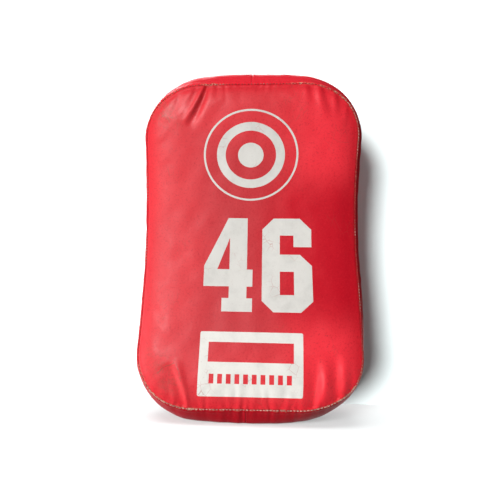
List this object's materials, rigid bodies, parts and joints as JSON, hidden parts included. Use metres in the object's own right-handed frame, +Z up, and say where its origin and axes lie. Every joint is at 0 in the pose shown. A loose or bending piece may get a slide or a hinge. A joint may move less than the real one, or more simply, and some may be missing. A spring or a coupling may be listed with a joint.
{
  "type": "football blocking pad",
  "caption": "Bent, crowned foam blocking pad in a sewn red vinyl cover, with grab handles and a closing zipper on its back.",
  "frame": {"origin": "bottom centre of the bounding box, on the flat patch that the pad stands on", "axes": "+Z up along the pad's length, +X to the right as seen from the front, and the concave front faces -Y"},
  "size_m": [0.3998, 0.2258, 0.6215],
  "materials": {
    "printed_vinyl": "semi-gloss vinyl-coated cloth with white printed motifs, scuffed",
    "red_vinyl": "semi-gloss vinyl-coated cloth, creased and scuffed",
    "seam_thread": "polyester thread, worn to tan in places",
    "handle_thread": "bonded nylon thread",
    "soft_foam": "open-cell foam",
    "firm_foam": "closed-cell foam",
    "zipper_tape": "woven tape",
    "zipper_metal": "nickel plated, slightly dulled",
    "webbing": "flat woven nylon webbing",
    "brass": "polished, slightly tarnished"
  },
  "bodies": {
    "root": {"front_cover_panel": "printed_vinyl", "back_cover_panel": "red_vinyl", "left_side_band": "red_vinyl", "right_side_band": "red_vinyl", "front_seam_thread": "seam_thread", "back_seam_thread": "seam_thread", "strike_foam": "soft_foam", "core_foam": "firm_foam", "zipper_tape_upper": "zipper_tape", "zipper_tape_lower": "zipper_tape", "zipper_chain": "zipper_metal", "zipper_stop_left": "zipper_metal", "zipper_stop_right": "zipper_metal", "left_handle_upper_patch": "red_vinyl", "left_handle_upper_web_end": "webbing", "left_handle_upper_stitching": "handle_thread", "left_handle_lower_patch": "red_vinyl", "left_handle_lower_web_end": "webbing", "left_handle_lower_stitching": "handle_thread", "right_handle_upper_patch": "red_vinyl", "right_handle_upper_web_end": "webbing", "right_handle_upper_stitching": "handle_thread", "right_handle_lower_patch": "red_vinyl", "right_handle_lower_web_end": "webbing", "right_handle_lower_stitching": "handle_thread", "left_upper_vent_eyelet": "brass", "left_upper_vent_washer": "brass", "left_lower_vent_eyelet": "brass", "left_lower_vent_washer": "brass", "right_upper_vent_eyelet": "brass", "right_upper_vent_washer": "brass", "right_lower_vent_eyelet": "brass", "right_lower_vent_washer": "brass"},
    "left_handle": {"left_handle_loop": "webbing", "left_handle_grip_pad": "firm_foam", "left_handle_grip_sleeve": "red_vinyl"},
    "right_handle": {"right_handle_loop": "webbing", "right_handle_grip_pad": "firm_foam", "right_handle_grip_sleeve": "red_vinyl"},
    "zipper_slider": {"zipper_slider": "zipper_metal"},
    "zipper_pull": {"zipper_pull": "zipper_metal"}
  },
  "joints": [
    {"name": "left_handle_swing", "type": "hinge", "parent": "root", "child": "left_handle", "pos_m": [-0.07566, 0.06053, 0.31147], "axis": [0, -0.0523, 0.9986], "range_deg": [-40, 40]},
    {"name": "right_handle_swing", "type": "hinge", "parent": "root", "child": "right_handle", "pos_m": [0.07566, 0.06053, 0.31147], "axis": [0, -0.0523, 0.9986], "range_deg": [-40, 40]},
    {"name": "zipper_slide", "type": "slide", "parent": "root", "child": "zipper_slider", "axis": [-1, 0, 0], "range_m": [0, 0.215]},
    {"name": "zipper_pull_flip", "type": "hinge", "parent": "zipper_slider", "child": "zipper_pull", "pos_m": [0.1076, 0.04932, 0.13422], "axis": [0, -0.0852, -0.9964], "range_deg": [0, 180]}
  ]
}
